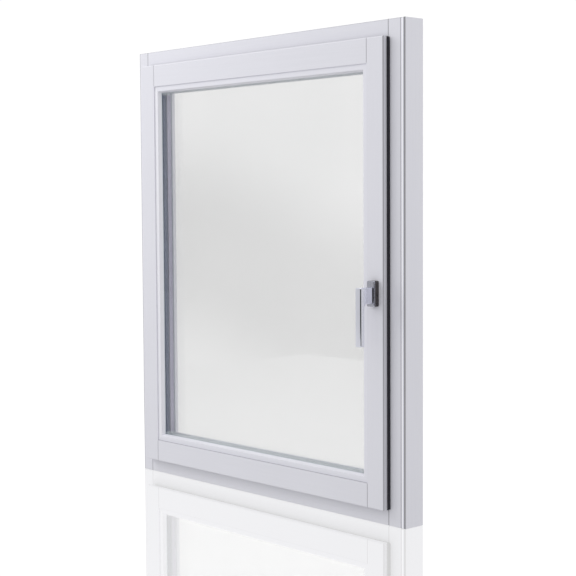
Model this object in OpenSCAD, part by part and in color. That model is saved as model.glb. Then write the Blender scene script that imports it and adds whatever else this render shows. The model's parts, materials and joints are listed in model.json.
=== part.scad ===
// Side-hung casement window in timber: a fixed frame, a sash that turns into the room on
// concealed corner hinges, triple glazing, and an espagnolette lock worked by a lever handle.
// Millimetres. +Z is up, the room side faces -Y, and the hinges are on the left, at -X.
// The origin is at the middle of the bottom face of the frame.

/* [Frame] */
// Width of the frame over its two jambs, without the side strip
frame_w = 1067; // [760:1:1400]
// Height of the frame
frame_h = 1250; // [1040:1:1600]
// Depth of the frame from its room face to its outside face
frame_d = 68; // [62:1:90]
// Frame face that shows beside and below the sash
reveal = 40; // [36:0.5:50]
// Frame face that shows above the sash
reveal_top = 42; // [36:0.5:50]
// Width of the packing strip on the outside of the lock jamb
strip_w = 12; // [8:0.5:20]
// Thickness of the stop that the sash closes against
stop_t = 16; // [12:0.5:20]
// How far the stop reaches inwards from the rebate
stop_reach = 20; // [18:0.5:24]
// How far the corner lap of head and sill runs over the jambs
corner_lap = 4; // [2:0.5:6]
// Depth of that corner lap
corner_lap_d = 22; // [15:1:30]
// Rounding of the long outer arrises
arris_r = 3; // [1.5:0.5:4]
// Side of the square cut that makes the V at each joint line
joint_line = 1; // [0.6:0.1:1.6]
// Width of the open joint at the bottom of that V
joint_gap = 0.6; // [0.3:0.1:0.8]
// Depth of the open joint behind the face
joint_d = 2.4; // [1.5:0.1:4]

/* [Sash] */
// How far the sash lip covers the face of the frame
lip_overlap = 6; // [5:0.5:8]
// Thickness of the lip
lip_t = 12.5; // [11:0.5:15]
// Gap between the back of the lip and the frame face, filled by the gasket
lip_gap = 8; // [6:0.5:10]
// How far the gasket stands out past the lip on the lock side
gasket_proud = 4.2; // [0:0.1:6]
// Radius of the two outer corners of the lock-side sash gasket
gasket_corner = 5; // [1:0.5:8]
// Air space between the edge of the sash and the rebate of the frame
air = 12; // [11:0.5:14]
// Depth of the sash from its room face to its outside face
sash_d = 68; // [66:1:76]
// Face width of the stiles
stile_w = 57; // [54:0.5:80]
// Face width of the top rail
rail_top_w = 62.5; // [54:0.5:90]
// Face width of the bottom rail
rail_bottom_w = 62; // [54:0.5:90]

/* [Glazing] */
// Thickness of each pane
pane_t = 4; // [3:0.5:5]
// Thickness of the two spacers between the panes
spacer_t = 14; // [10:0.5:15]
// Depth of the bead's face behind the face of the sash
bead_recess = 3; // [1:0.5:5]
// Flat face of the bead
bead_flat = 14.4; // [10:0.2:18]
// How far the bead's sloping side runs inwards
bead_slope = 4.5; // [2:0.5:8]
// Depth of the bead's back behind the face of the sash
bead_back = 14; // [10:0.5:16]
// Thickness of the seal between bead and glass
seal_t = 2; // [1.5:0.5:3]
// Gap all round the edge of the glass unit
glass_gap = 5; // [3:0.5:6]
// Depth of the sealant at the edge of the glass unit
edge_seal_w = 5; // [3:0.5:6]

/* [Hinges] */
// Turning axis of the sash, inwards from the hinge edge of the lip
axis_in = 5; // [4.8:0.1:6]
// Turning axis of the sash, behind the face of the sash
axis_back = 7; // [6.5:0.1:8]
// Radius of the hinge pins
hinge_pin_r = 2.5; // [2:0.1:2.8]
// Radial clearance of the pins in their bushes
pin_clear = 0.03; // [0.01:0.01:0.08]
// Length of the frame plate up the jamb
hinge_plate_h = 90; // [70:1:110]
// Length of the sash plate along the rail
hinge_plate_l = 60; // [45:1:80]

/* [Lock] */
// Handle axis, inwards from the lock edge of the lip
handle_in = 28.5; // [28:0.1:29.5]
// Height of the handle axis above the bottom of the frame
handle_z = 579.5; // [430:0.5:640]
// Depth of the lock groove's middle behind the face of the sash
groove_back = 38.5; // [34:0.5:44]
// Module of the pinion and the rack
gear_module = 0.8; // [0.7:0.05:0.8]
// Teeth on the pinion
pinion_teeth = 18; // [18:1:18]
// Play between pinion teeth and rack teeth
tooth_play = 0.2; // [0.15:0.01:0.3]
// Lowest locking cam above the bottom of the frame
cam_low = 230; // [200:5:300]
// Topmost locking cam below the top of the frame
cam_high = 260; // [200:5:300]
// Middle locking cam below the topmost one
cam_step = 270; // [250:5:290]
// Radius of a cam's head
cam_r = 4.5; // [4:0.1:5]
// Gap between a cam's head and the catch beyond it
catch_clear = 1; // [0.5:0.1:2]
// Thickness of the faceplate
faceplate_t = 2.5; // [2:0.1:3]
// Width of the faceplate
faceplate_w = 16; // [16:0.5:20]

/* [Handle] */
// Width of the rose
rose_w = 26; // [24:0.5:30]
// Height of the rose
rose_h = 64; // [56:1:72]
// Thickness of the rose
rose_t = 16.5; // [12:0.5:20]
// Width of the lever
lever_w = 19; // [16:0.5:21]
// Depth of the lever's grip
grip_t = 14; // [10:0.5:16]
// Front of the lever's grip before the face of the sash
lever_out = 60; // [54:0.5:66]
// Lever above the handle axis at rest
lever_up = 16.5; // [12:0.5:20]
// Lever below the handle axis at rest
lever_down = 129; // [110:1:150]
// Neck below the handle axis at rest
neck_down = 24; // [18:0.5:28]
// Side of the square spindle
spindle_side = 7; // [7:0.1:7.2]

/* [Fixings] */
// Radius of the holes for the wall fixings through the jambs
fixing_r = 3.1; // [2.5:0.1:4]
// Distance of the outer wall fixings from the top and bottom of the frame
fixing_end = 170; // [150:5:185]
// Wall fixings behind the room face of the frame
fixing_back = 26; // [20:1:34]

/* [Hidden] */
$fn = 48;

lacquer = [0.93, 0.93, 0.95];
rubber = [0.1, 0.1, 0.12];
steel = [0.72, 0.74, 0.77];
chrome = [0.68, 0.69, 0.73];
eps = 0.01;
LEFT = 0;
RIGHT = 1;
BOTTOM = 2;
TOP = 3;

// Frame: outer faces, rebate walls and the inner edges of the stop
frame_x0 = -(frame_w + strip_w) / 2;
frame_x1 = frame_x0 + frame_w;
strip_x1 = frame_x1 + strip_w;
face_y = -frame_d / 2;
back_y = frame_d / 2;
rebate_x0 = frame_x0 + reveal + lip_overlap;
rebate_x1 = frame_x1 - reveal - lip_overlap;
rebate_z0 = reveal + lip_overlap;
rebate_z1 = frame_h - reveal_top - lip_overlap;
rebate = [rebate_x0, rebate_z0, rebate_x1, rebate_z1];
fixing_y = face_y + fixing_back;
fixing_zs = [fixing_end, frame_h / 2, frame_h - fixing_end];

// Sash: lip, body and glazing rebate
lip = [rebate_x0 - lip_overlap, rebate_z0 - lip_overlap, rebate_x1 + lip_overlap,
       rebate_z1 + lip_overlap];
body = [rebate_x0 + air, rebate_z0 + air, rebate_x1 - air, rebate_z1 - air];
sash_y = face_y - lip_gap - lip_t;
lip_back_y = sash_y + lip_t;
sash_back_y = sash_y + sash_d;
glazed = [lip[0] + stile_w, lip[1] + rail_bottom_w, lip[2] - stile_w, lip[3] - rail_top_w];
sight_in = bead_flat + bead_slope;
mitre_reach = sight_in + 6;
mitre_gap = 0.1;
glass_y = sash_y + bead_back + seal_t;
unit_t = 3 * pane_t + 2 * spacer_t;
outer_seal_t = 2.5;
outer_stop_y = glass_y + unit_t + outer_seal_t;
glass = [glazed[0] + glass_gap, glazed[1] + glass_gap, glazed[2] - glass_gap,
         glazed[3] - glass_gap];
stop_y = max(back_y - stop_t, sash_back_y + 4);
gasket_clear = 0.35;

// Hinge axis and the parts about it, for the bottom corner; the top corner is its mirror image
axis_x = lip[0] + axis_in;
axis_y = sash_y + axis_back;
arm_z = rebate_z0 + 3;
arm_t = 5;
arm_head_r = 4;
arm_w = 6;
bush_r = 4;
sash_plate_t = 3;
bush_h = 11;
arm_x0 = rebate_x0 + 0.3;
arm_x1 = arm_x0 + arm_w;
plate_t = 3;
plate_y0 = face_y + 4;
plate_y1 = plate_y0 + 40;
pocket_clear = 0.5;
sash_plate_z = body[1] - sash_plate_t;

// Lock
handle_x = lip[2] - handle_in;
cam_z = [cam_low, frame_h - cam_high - cam_step, frame_h - cam_high];
groove_y = sash_y + groove_back;
pitch_r = gear_module * pinion_teeth / 2;
addendum = gear_module;
dedendum = 1.25 * gear_module;
tooth_pitch = PI * gear_module;
rod_travel = pitch_r * PI / 2;
rod_x0 = handle_x + pitch_r + dedendum;
rod_x1 = body[2] - 0.35;
rod_half_w = 5;
rod_z0 = cam_z[0] - 30;
rod_z1 = cam_z[2] + 30;
groove_clear = 0.5;
rack_teeth = 11;
case_half_t = 7;
case_half_h = 24;
case_x0 = handle_x - pitch_r - addendum - 3;
case_x1 = rod_x0 - groove_clear;
case_lid_t = 2.5;
pinion_half_t = 3;
pinion_room = 0.4;
hub_r = 6;
hub_clear = 0.05;
mortise_clear = 0.3;
stem_r = 2.5;
cam_x0 = body[2] + faceplate_t + 0.4;
cam_x1 = cam_x0 + 4.1;
striker_t = 3;
catch_x0 = body[2] + faceplate_t + 2;

// Handle
neck_y = sash_y - rose_t - 1;
washer_gap = 0.3;
washer_r = 11;
hub_out_r = 8.5;
lever_r = 2.2;
neck_fillet = 9;
rose_wall = 2;
rose_base_t = 4;

// Screws: head radius, shank radius and length
small_screw = [3, 1.5, 22];
hinge_screw = [3.4, 1.7, 28];
rose_screw = [3.4, 2.2, 26];
shank_room = 0.1;

// The box between two opposite corners
module box(a, b) translate(a) cube(b - a);

// A flat shape in X and Z, made solid from y0 to y1
module along_y(y0, y1)
  translate([0, y1, 0]) rotate([90, 0, 0]) linear_extrude(y1 - y0) children();

// A flat shape in Y and Z, made solid from x0 to x1
module along_x(x0, x1)
  translate([x0, 0, 0]) rotate([90, 0, 90]) linear_extrude(x1 - x0) children();

// A flat shape in X and Y, made solid from z0 to z1
module along_z(z0, z1) translate([0, 0, z0]) linear_extrude(z1 - z0) children();

// Round bars along X and Y
module bar_x(x0, x1, y, z, r)
  translate([x0, y, z]) rotate([0, 90, 0]) cylinder(r = r, h = x1 - x0);
module bar_y(y0, y1, x, z, r)
  translate([x, y1, z]) rotate([90, 0, 0]) cylinder(r = r, h = y1 - y0);

// Points of an arc, or its centre alone when the radius is nothing
function arc(c, r, a0, a1, n = 6) =
  r == 0 ? [c] : [for (i = [0:n]) let (a = a0 + (a1 - a0) * i / n) c + r * [cos(a), sin(a)]];

// A rectangle from a to b whose corners are rounded by r[0..3], counted from the first corner
function rounded(a, b, r) = concat(
  arc([a[0] + r[0], a[1] + r[0]], r[0], 180, 270),
  arc([b[0] - r[1], a[1] + r[1]], r[1], 270, 360),
  arc([b[0] - r[2], b[1] - r[2]], r[2], 0, 90),
  arc([a[0] + r[3], b[1] - r[3]], r[3], 90, 180));

// The line that shows where two members meet, along Z on the plane y: a V with an open joint
module joint_vee(x, y, z0, z1) {
  v = joint_line / sqrt(2);
  g = joint_gap / 2;
  along_z(z0, z1)
    polygon([[x - v - 1, y - 1], [x + v + 1, y - 1], [x + g, y + v - g], [x + g, y + joint_d],
             [x - g, y + joint_d], [x - g, y + v - g]]);
}

// A strip along one side of the rectangle r, mitred at both ends.
// Its outline is a list of [distance inwards, depth behind y0].
module mitred(r, side, outline, reach, y0) {
  g = mitre_gap;
  mitres = [
    [[r[0], r[1] + g], [r[0] + reach, r[1] + reach + g], [r[0] + reach, r[3] - reach - g],
     [r[0], r[3] - g]],
    [[r[2], r[1] + g], [r[2] - reach, r[1] + reach + g], [r[2] - reach, r[3] - reach - g],
     [r[2], r[3] - g]],
    [[r[0], r[1]], [r[2], r[1]], [r[2] - reach, r[1] + reach], [r[0] + reach, r[1] + reach]],
    [[r[0], r[3]], [r[2], r[3]], [r[2] - reach, r[3] - reach], [r[0] + reach, r[3] - reach]]
  ];
  intersection() {
    along_y(y0 - frame_d, y0 + frame_d) polygon(mitres[side]);
    if (side == LEFT) along_z(r[1], r[3]) polygon([for (p = outline) [r[0] + p[0], y0 + p[1]]]);
    else if (side == RIGHT)
      along_z(r[1], r[3]) polygon([for (p = outline) [r[2] - p[0], y0 + p[1]]]);
    else if (side == BOTTOM)
      along_x(r[0], r[2]) polygon([for (p = outline) [y0 + p[1], r[1] + p[0]]]);
    else along_x(r[0], r[2]) polygon([for (p = outline) [y0 + p[1], r[3] - p[0]]]);
  }
}

// A plain strip on all four sides, s0 to s1 inwards and d0 to d1 deep
module strip_ring(r, s0, s1, d0, d1, y0)
  for (side = [LEFT:TOP])
    mitred(r, side, [[s0, d0], [s1, d0], [s1, d1], [s0, d1]], s1 + 1, y0);

// The same thing at the top corner, turned over
module turned_over() translate([0, 0, rebate_z0 + rebate_z1]) mirror([0, 0, 1]) children();

// A countersunk screw that runs along +Z from its flush head at z = 0
module screw(s) {
  head_h = s[0] - s[1];
  rotate_extrude() polygon([[0, 0], [s[0], 0], [s[1], head_h], [s[1], s[2]], [0, s[2]]]);
}
// The hole for it, a little wider round the shank
module screw_hole(s) {
  head_h = s[0] - s[1];
  rotate_extrude()
    polygon([[0, -eps], [s[0] + eps, -eps], [s[0], 0], [s[1] + shank_room, head_h],
             [s[1] + shank_room, s[2] + shank_room], [0, s[2] + shank_room]]);
}

// ---- Frame ----

// Wall fixings go through the hinge jamb; the lock jamb and its strip are drilled on site
module fixing_holes()
  for (z = fixing_zs) bar_x(frame_x0 - 1, rebate_x0 + 1, fixing_y, z, fixing_r);

// All four members in one, before they are parted at their joints
module frame_blank()
  difference() {
    intersection() {
      along_z(0, frame_h)
        polygon(rounded([frame_x0, face_y], [frame_x1, back_y], [arris_r, 0, 0, arris_r]));
      along_x(frame_x0, frame_x1)
        polygon(rounded([face_y, 0], [back_y, frame_h], [arris_r, arris_r, arris_r, arris_r]));
    }
    box([rebate_x0, face_y - 1, rebate_z0], [rebate_x1, stop_y, rebate_z1]);
    box([rebate_x0 + stop_reach, face_y - 1, rebate_z0 + stop_reach],
        [rebate_x1 - stop_reach, back_y + 1, rebate_z1 - stop_reach]);
    for (x = [rebate_x0 - corner_lap, rebate_x1 + corner_lap], z = [[-1, rebate_z0],
              [rebate_z1, frame_h + 1]])
      joint_vee(x, face_y, z[0], z[1]);
    joint_vee(frame_x1, face_y, -1, frame_h + 1);
    fixing_holes();
    hinge_frame_screw_holes();
    striker_screw_holes();
  }

// The share of the blank that belongs to the jambs
module jamb_share(side) {
  wall = side == LEFT ? rebate_x0 : rebate_x1;
  out = side == LEFT ? frame_x0 - 1 : frame_x1 + 1;
  inner = side == LEFT ? rebate_x0 + stop_reach : rebate_x1 - stop_reach;
  lap = side == LEFT ? wall - corner_lap : wall + corner_lap;
  difference() {
    union() {
      box([min(out, wall), face_y - 1, -1], [max(out, wall), back_y + 1, frame_h + 1]);
      box([min(out, inner), stop_y, -1], [max(out, inner), back_y + 1, frame_h + 1]);
    }
    for (z = [[-2, rebate_z0], [rebate_z1, frame_h + 2]])
      box([min(lap, wall + (side == LEFT ? 1 : 0)), face_y - 2, z[0]],
          [max(lap, wall + (side == LEFT ? 1 : 0)), face_y + corner_lap_d, z[1]]);
  }
}

module jamb_left() color(lacquer) intersection() { frame_blank(); jamb_share(LEFT); }
module jamb_right() color(lacquer) intersection() { frame_blank(); jamb_share(RIGHT); }

module cross_member(z0, z1)
  difference() {
    intersection() {
      frame_blank();
      box([frame_x0 - 1, face_y - 1, z0], [frame_x1 + 1, back_y + 1, z1]);
    }
    jamb_share(LEFT);
    jamb_share(RIGHT);
  }
module head() color(lacquer) cross_member(rebate_z1 - stop_reach - 1, frame_h + 1);
module sill() color(lacquer) cross_member(-1, rebate_z0 + stop_reach + 1);

module side_strip() color(lacquer)
  difference() {
    intersection() {
      along_z(0, frame_h)
        polygon(rounded([frame_x1, face_y], [strip_x1, back_y], [0, arris_r, arris_r, 0]));
      along_x(frame_x1, strip_x1)
        polygon(rounded([face_y, 0], [back_y, frame_h], [arris_r, arris_r, arris_r, arris_r]));
    }
    joint_vee(frame_x1, face_y, -1, frame_h + 1);
  }

module frame_gasket() color(rubber)
  strip_ring(rebate, air + 1, stop_reach, sash_back_y + gasket_clear - stop_y, 0, stop_y);

// ---- Hinges ----

hinge_screw_zs = [25, 50, 75];
module hinge_frame_screws_at(hole)
  for (z = hinge_screw_zs)
    translate([rebate_x0 + plate_t, (plate_y0 + plate_y1) / 2, rebate_z0 + z])
      rotate([0, -90, 0]) if (hole) screw_hole(hinge_screw); else screw(hinge_screw);
module hinge_frame_screw_holes() {
  hinge_frame_screws_at(true);
  turned_over() hinge_frame_screws_at(true);
}
module hinge_frame_screws() color(steel) {
  hinge_frame_screws_at(false);
  turned_over() hinge_frame_screws_at(false);
}

// Plate on the jamb, foot on the sill, and a cranked arm that carries the pin
module hinge_frame_plate() {
  arm = concat(
    [[arm_x0, plate_y0 + 6], [arm_x0, face_y - 0.5], [axis_x - arm_head_r, axis_y + 4],
     [axis_x - arm_head_r, axis_y]],
    arc([axis_x, axis_y], arm_head_r, 180, 360, 12),
    [[arm_x1, face_y - 3], [arm_x1, plate_y0 + 6]]);
  difference() {
    union() {
      box([rebate_x0, plate_y0, rebate_z0], [rebate_x0 + plate_t, plate_y1,
          rebate_z0 + hinge_plate_h]);
      box([rebate_x0, plate_y0, rebate_z0], [rebate_x0 + 30, plate_y1, rebate_z0 + plate_t]);
      along_z(arm_z, arm_z + arm_t) polygon(arm);
      translate([axis_x, axis_y, arm_z])
        cylinder(r = hinge_pin_r, h = sash_plate_z + bush_h - arm_z - 0.5);
    }
    hinge_frame_screws_at(true);
  }
}
module hinge_frame_plate_bottom() color(steel) hinge_frame_plate();
module hinge_frame_plate_top() color(steel) turned_over() hinge_frame_plate();

// Pocket in the sash lip that lets the arm swing out through its hinge edge
module hinge_pocket() {
  box([lip[0] - 1, axis_y - arm_head_r - pocket_clear, arm_z - pocket_clear],
      [arm_x1 + pocket_clear, lip_back_y + lip_gap, body[1]]);
  translate([axis_x, axis_y, body[1] - 1]) cylinder(r = bush_r, h = bush_h - sash_plate_t + 1);
}

sash_screw_xs = [22, 38, 54];
module hinge_sash_screws_at(hole)
  for (x = sash_screw_xs)
    translate([body[0] + x, groove_y, sash_plate_z])
      if (hole) screw_hole(small_screw); else screw(small_screw);
module hinge_sash_screws() color(steel) {
  hinge_sash_screws_at(false);
  turned_over() hinge_sash_screws_at(false);
}

// Plate under the rail that reaches forward to the hinge axis
module hinge_sash_plate() {
  reach = concat(
    arc([axis_x, axis_y], bush_r + 0.8, 90, 270, 10),
    [[arm_x1, axis_y - bush_r - 0.8 + 1], [body[0] + 4, lip_back_y + 1],
     [body[0] + hinge_plate_l, lip_back_y + 10], [body[0] + hinge_plate_l, groove_y + 12],
     [body[0] + 4, groove_y + 12], [body[0] + 1, lip_back_y + 9]]);
  difference() {
    intersection() {
      along_z(sash_plate_z, body[1]) polygon(reach);
      union() {
        box([lip[0], axis_y - bush_r + 0.2, 0], [arm_x1 + pocket_clear, lip_back_y + 1, frame_h]);
        box([lip[0], lip_back_y, 0], [body[2], sash_back_y, frame_h]);
      }
    }
    translate([axis_x, axis_y, sash_plate_z - 1]) cylinder(r = bush_r, h = sash_plate_t + 2);
    hinge_sash_screws_at(true);
  }
}
module hinge_sash_plate_bottom() color(steel) hinge_sash_plate();
module hinge_sash_plate_top() color(steel) turned_over() hinge_sash_plate();

module hinge_bush()
  translate([axis_x, axis_y, sash_plate_z]) difference() {
    cylinder(r = bush_r, h = bush_h);
    translate([0, 0, -1]) cylinder(r = hinge_pin_r + pin_clear, h = bush_h + 2);
  }
module hinge_bushes() color([0.2, 0.2, 0.22]) {
  hinge_bush();
  turned_over() hinge_bush();
}

// ---- Sash ----

module sash_blank()
  difference() {
    union() {
      intersection() {
        along_z(lip[1], lip[3])
          polygon(rounded([lip[0], sash_y], [lip[2], lip_back_y], [arris_r, arris_r, 0, 0]));
        along_x(lip[0], lip[2])
          polygon(rounded([sash_y, lip[1]], [lip_back_y, lip[3]], [arris_r, 0, 0, arris_r]));
      }
      box([body[0], lip_back_y - 1, body[1]], [body[2], sash_back_y, body[3]]);
    }
    box([glazed[0], sash_y - 1, glazed[1]], [glazed[2], outer_stop_y, glazed[3]]);
    box([glazed[0] + sight_in, sash_y - 1, glazed[1] + sight_in],
        [glazed[2] - sight_in, sash_back_y + 1, glazed[3] - sight_in]);
    for (x = [glazed[0], glazed[2]], z = [[lip[1] - 1, glazed[1]], [glazed[3], lip[3] + 1]])
      joint_vee(x, sash_y, z[0], z[1]);
    hinge_pocket();
    turned_over() hinge_pocket();
    hinge_sash_screws_at(true);
    turned_over() hinge_sash_screws_at(true);
    bead_pins_at(true);
  }

module stile_share(side) {
  edge = side == LEFT ? glazed[0] : glazed[2];
  out = side == LEFT ? lip[0] - 1 : lip[2] + 1;
  inner = side == LEFT ? glazed[0] + sight_in : glazed[2] - sight_in;
  box([min(out, edge), sash_y - 1, 0], [max(out, edge), sash_back_y + 1, frame_h]);
  box([min(out, inner), outer_stop_y, 0], [max(out, inner), sash_back_y + 1, frame_h]);
}

module stile_left() color(lacquer) intersection() { sash_blank(); stile_share(LEFT); }
module stile_right() color(lacquer)
  difference() {
    intersection() { sash_blank(); stile_share(RIGHT); }
    lock_mortise();
  }
module sash_rail(z0, z1)
  difference() {
    intersection() {
      sash_blank();
      box([lip[0] - 1, sash_y - 1, z0], [lip[2] + 1, sash_back_y + 1, z1]);
    }
    stile_share(LEFT);
    stile_share(RIGHT);
  }
module rail_top() color(lacquer) sash_rail(glazed[3] - sight_in - 1, lip[3] + 1);
module rail_bottom() color(lacquer) sash_rail(lip[1] - 1, glazed[1] + sight_in + 1);

// The gasket stands back on the hinge side, where the lip turns, is notched for the arms, and
// bulges out past the lip on the lock side with rounded ends
gasket_in = 0.6;
gasket_w = 14;
module sash_gasket() color(rubber) {
  back = lip_gap - gasket_clear;
  outline = [[gasket_in, 0], [gasket_w, 0], [gasket_w, back], [gasket_in, back]];
  difference() {
    union() {
      for (side = [BOTTOM, TOP]) mitred(lip, side, outline, gasket_w + 1, lip_back_y);
      intersection() {
        mitred(lip, LEFT, outline, gasket_w + 1, lip_back_y);
        box([lip[0], lip_back_y - 1, body[1]], [body[0], face_y + 1, body[3]]);
      }
    }
    box([lip[0] - 1, lip_back_y - 1, 0], [axis_x, face_y + 1, frame_h]);
    hinge_pocket();
    turned_over() hinge_pocket();
    gasket_plate_room();
    turned_over() gasket_plate_room();
    box([lip[2] - gasket_w - mitre_gap, lip_back_y - 1, 0], [lip[2] + 1, face_y + 1, frame_h]);
  }
  along_y(lip_back_y, lip_back_y + back)
    polygon(rounded([lip[2] - gasket_w, lip[1] + gasket_in],
                    [lip[2] + gasket_proud, lip[3] - gasket_in],
                    [0, gasket_corner, gasket_corner, 0]));
}
module gasket_plate_room()
  box([lip[0] - 1, lip_back_y - 1, arm_z - pocket_clear],
      [lip[0] + air + lip_overlap + hinge_plate_l + 2, face_y + 1, body[1] + 1]);

// ---- Glazing ----

bead_outline = concat(
  [[0, bead_recess]], arc([bead_flat - 1, bead_recess + 1], 1, -90, -20, 4),
  [[sight_in, bead_back], [0, bead_back]]);
module bead(side) color(lacquer)
  difference() {
    mitred(glazed, side, bead_outline, mitre_reach, sash_y);
    bead_pins_at(true);
  }
module bead_left() bead(LEFT);
module bead_right() bead(RIGHT);
module bead_top() bead(TOP);
module bead_bottom() bead(BOTTOM);

// Panel pins that hold the beads, driven through them into the stiles and rails
pin_r = 0.7;
pin_head_r = 1.1;
pin_in = 6;
pin_step = 240;
module bead_pin(hole) {
  room = hole ? shank_room : 0;
  rotate([0, 90, 0]) cylinder(r = pin_r + room, h = 22 + room);
}
module bead_pins_at(hole) {
  mid_x = (glazed[0] + glazed[2]) / 2;
  mid_z = (glazed[1] + glazed[3]) / 2;
  count_z = floor((glazed[3] - glazed[1] - 160) / pin_step / 2);
  count_x = floor((glazed[2] - glazed[0] - 160) / pin_step / 2);
  pin_y = sash_y + bead_back - 4;
  for (i = [-count_z:count_z]) {
    translate([glazed[0] + pin_in, pin_y, mid_z + i * pin_step]) mirror([1, 0, 0]) bead_pin(hole);
    translate([glazed[2] - pin_in, pin_y, mid_z + i * pin_step]) bead_pin(hole);
  }
  for (i = [-count_x:count_x]) {
    translate([mid_x + i * pin_step, pin_y, glazed[3] - pin_in])
      rotate([0, -90, 0]) bead_pin(hole);
    translate([mid_x + i * pin_step, pin_y, glazed[1] + pin_in])
      rotate([0, 90, 0]) bead_pin(hole);
  }
}
module bead_pins() color(steel) bead_pins_at(false);

module pane(y) color([0.75, 0.88, 0.86, 0.4])
  box([glass[0], y, glass[1]], [glass[2], y + pane_t, glass[3]]);
module pane_inner() pane(glass_y);
module pane_middle() pane(glass_y + pane_t + spacer_t);
module pane_outer() pane(glass_y + 2 * (pane_t + spacer_t));

spacer_in = sight_in - glass_gap - 0.5;
module spacer(y) color([0.4, 0.42, 0.46])
  strip_ring(glass, edge_seal_w, spacer_in, 0, spacer_t, y);
module spacer_inner() spacer(glass_y + pane_t);
module spacer_outer() spacer(glass_y + 2 * pane_t + spacer_t);
module edge_seal() color([0.15, 0.15, 0.17])
  for (y = [glass_y + pane_t, glass_y + 2 * pane_t + spacer_t])
    strip_ring(glass, 0, edge_seal_w, 0, spacer_t, y);

module glazing_seal_inner() color([0.55, 0.58, 0.64])
  strip_ring(glazed, glass_gap + 1, sight_in - 0.5, bead_back, bead_back + seal_t, sash_y);
module glazing_seal_outer() color([0.55, 0.58, 0.64])
  strip_ring(glazed, glass_gap + 1, sight_in - 0.5, 0, outer_seal_t, glass_y + unit_t);

// Blocks that carry the unit on the bottom rail and centre it in the other sides
block_l = 90;
module setting_blocks() color([0.25, 0.3, 0.35]) {
  for (x = [glass[0] + 110, glass[2] - 110])
    for (z = [glazed[1], glass[3]])
      box([x - block_l / 2, glass_y + 1, z], [x + block_l / 2, glass_y + unit_t - 1, z + glass_gap]);
  for (z = [glass[1] + 110, glass[3] - 110])
    for (x = [glazed[0], glass[2]])
      box([x, glass_y + 1, z - block_l / 2], [x + glass_gap, glass_y + unit_t - 1, z + block_l / 2]);
}

// ---- Lock ----

// Groove for the rod, mortise for the gear case, and the hole for the spindle
module lock_mortise() {
  box([rod_x0 - groove_clear, groove_y - rod_half_w - groove_clear, rod_z0 - rod_travel - 2],
      [body[2] + 1, groove_y + rod_half_w + groove_clear, rod_z1 + 2]);
  box([case_x0 - mortise_clear, groove_y - case_half_t - mortise_clear,
       handle_z - case_half_h - mortise_clear],
      [body[2] + 1, groove_y + case_half_t + mortise_clear,
       handle_z + case_half_h + mortise_clear]);
  bar_y(sash_y - 1, groove_y, handle_x, handle_z, 6);
  rose_screws_at(true);
  faceplate_screws_at(true);
}

// Involute tooth form: the point that unwinds from the base circle to the radius r
function involute_angle(base, r) =
  let (t = sqrt(pow(r / base, 2) - 1)) t * 180 / PI - atan(t);
module pinion_outline() {
  base = pitch_r * cos(20);
  tip = pitch_r + addendum;
  root = pitch_r - dedendum;
  half_pitch = (tooth_pitch / 2 - tooth_play / 2) / 2 / pitch_r * 180 / PI;
  at_pitch = involute_angle(base, pitch_r);
  radii = [for (i = [0:4]) base + 0.001 + (tip - base - 0.001) * i / 4];
  flank = [for (r = radii) [r, half_pitch + at_pitch - involute_angle(base, r)]];
  tooth_step = 360 / pinion_teeth;
  points = [for (n = [0:pinion_teeth - 1]) let (mid = (n + 0.5) * tooth_step) each concat(
    [root * [cos(mid - flank[0][1] - 0.6), sin(mid - flank[0][1] - 0.6)]],
    [for (f = flank) f[0] * [cos(mid - f[1]), sin(mid - f[1])]],
    [for (i = [4:-1:0]) flank[i][0] * [cos(mid + flank[i][1]), sin(mid + flank[i][1])]],
    [root * [cos(mid + flank[0][1] + 0.6), sin(mid + flank[0][1] + 0.6)]])];
  polygon(points);
}
spindle_room = 0.05;
module square_hole(y0, y1)
  box([handle_x - spindle_side / 2 - spindle_room, y0, handle_z - spindle_side / 2 - spindle_room],
      [handle_x + spindle_side / 2 + spindle_room, y1, handle_z + spindle_side / 2 + spindle_room]);
module pinion() color(steel)
  difference() {
    union() {
      along_y(groove_y - pinion_half_t, groove_y + pinion_half_t)
        translate([handle_x, handle_z]) pinion_outline();
      bar_y(groove_y - case_half_t + 0.6, groove_y + case_half_t - 0.6, handle_x, handle_z, hub_r);
    }
    square_hole(groove_y - 10, groove_y + 10);
  }

case_screw_offsets = [-16, 16];
module gear_case_screws_at(hole)
  for (z = case_screw_offsets)
    translate([handle_x - 2, groove_y - case_half_t, handle_z + z]) rotate([-90, 0, 0])
      if (hole) screw_hole([2.2, 1.2, 9]); else screw([2.2, 1.2, 9]);
module gear_case_blank()
  difference() {
    box([case_x0, groove_y - case_half_t, handle_z - case_half_h],
        [case_x1, groove_y + case_half_t, handle_z + case_half_h]);
    bar_y(groove_y - pinion_half_t - pinion_room, groove_y + pinion_half_t + pinion_room,
          handle_x, handle_z, pitch_r + addendum + pinion_room);
    box([handle_x + 3, groove_y - rod_half_w - groove_clear, handle_z - case_half_h - 1],
        [case_x1 + 1, groove_y + rod_half_w + groove_clear, handle_z + case_half_h + 1]);
    bar_y(groove_y - 20, groove_y + 20, handle_x, handle_z, hub_r + hub_clear);
    gear_case_screws_at(true);
  }
lid_y = groove_y - case_half_t + case_lid_t;
module gear_case() color(steel)
  intersection() {
    gear_case_blank();
    box([case_x0 - 1, lid_y, 0], [case_x1 + 1, groove_y + 20, frame_h]);
  }
module gear_case_lid() color(steel)
  intersection() {
    gear_case_blank();
    box([case_x0 - 1, groove_y - 20, 0], [case_x1 + 1, lid_y, frame_h]);
  }
module gear_case_screws() color(steel) gear_case_screws_at(false);

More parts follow.
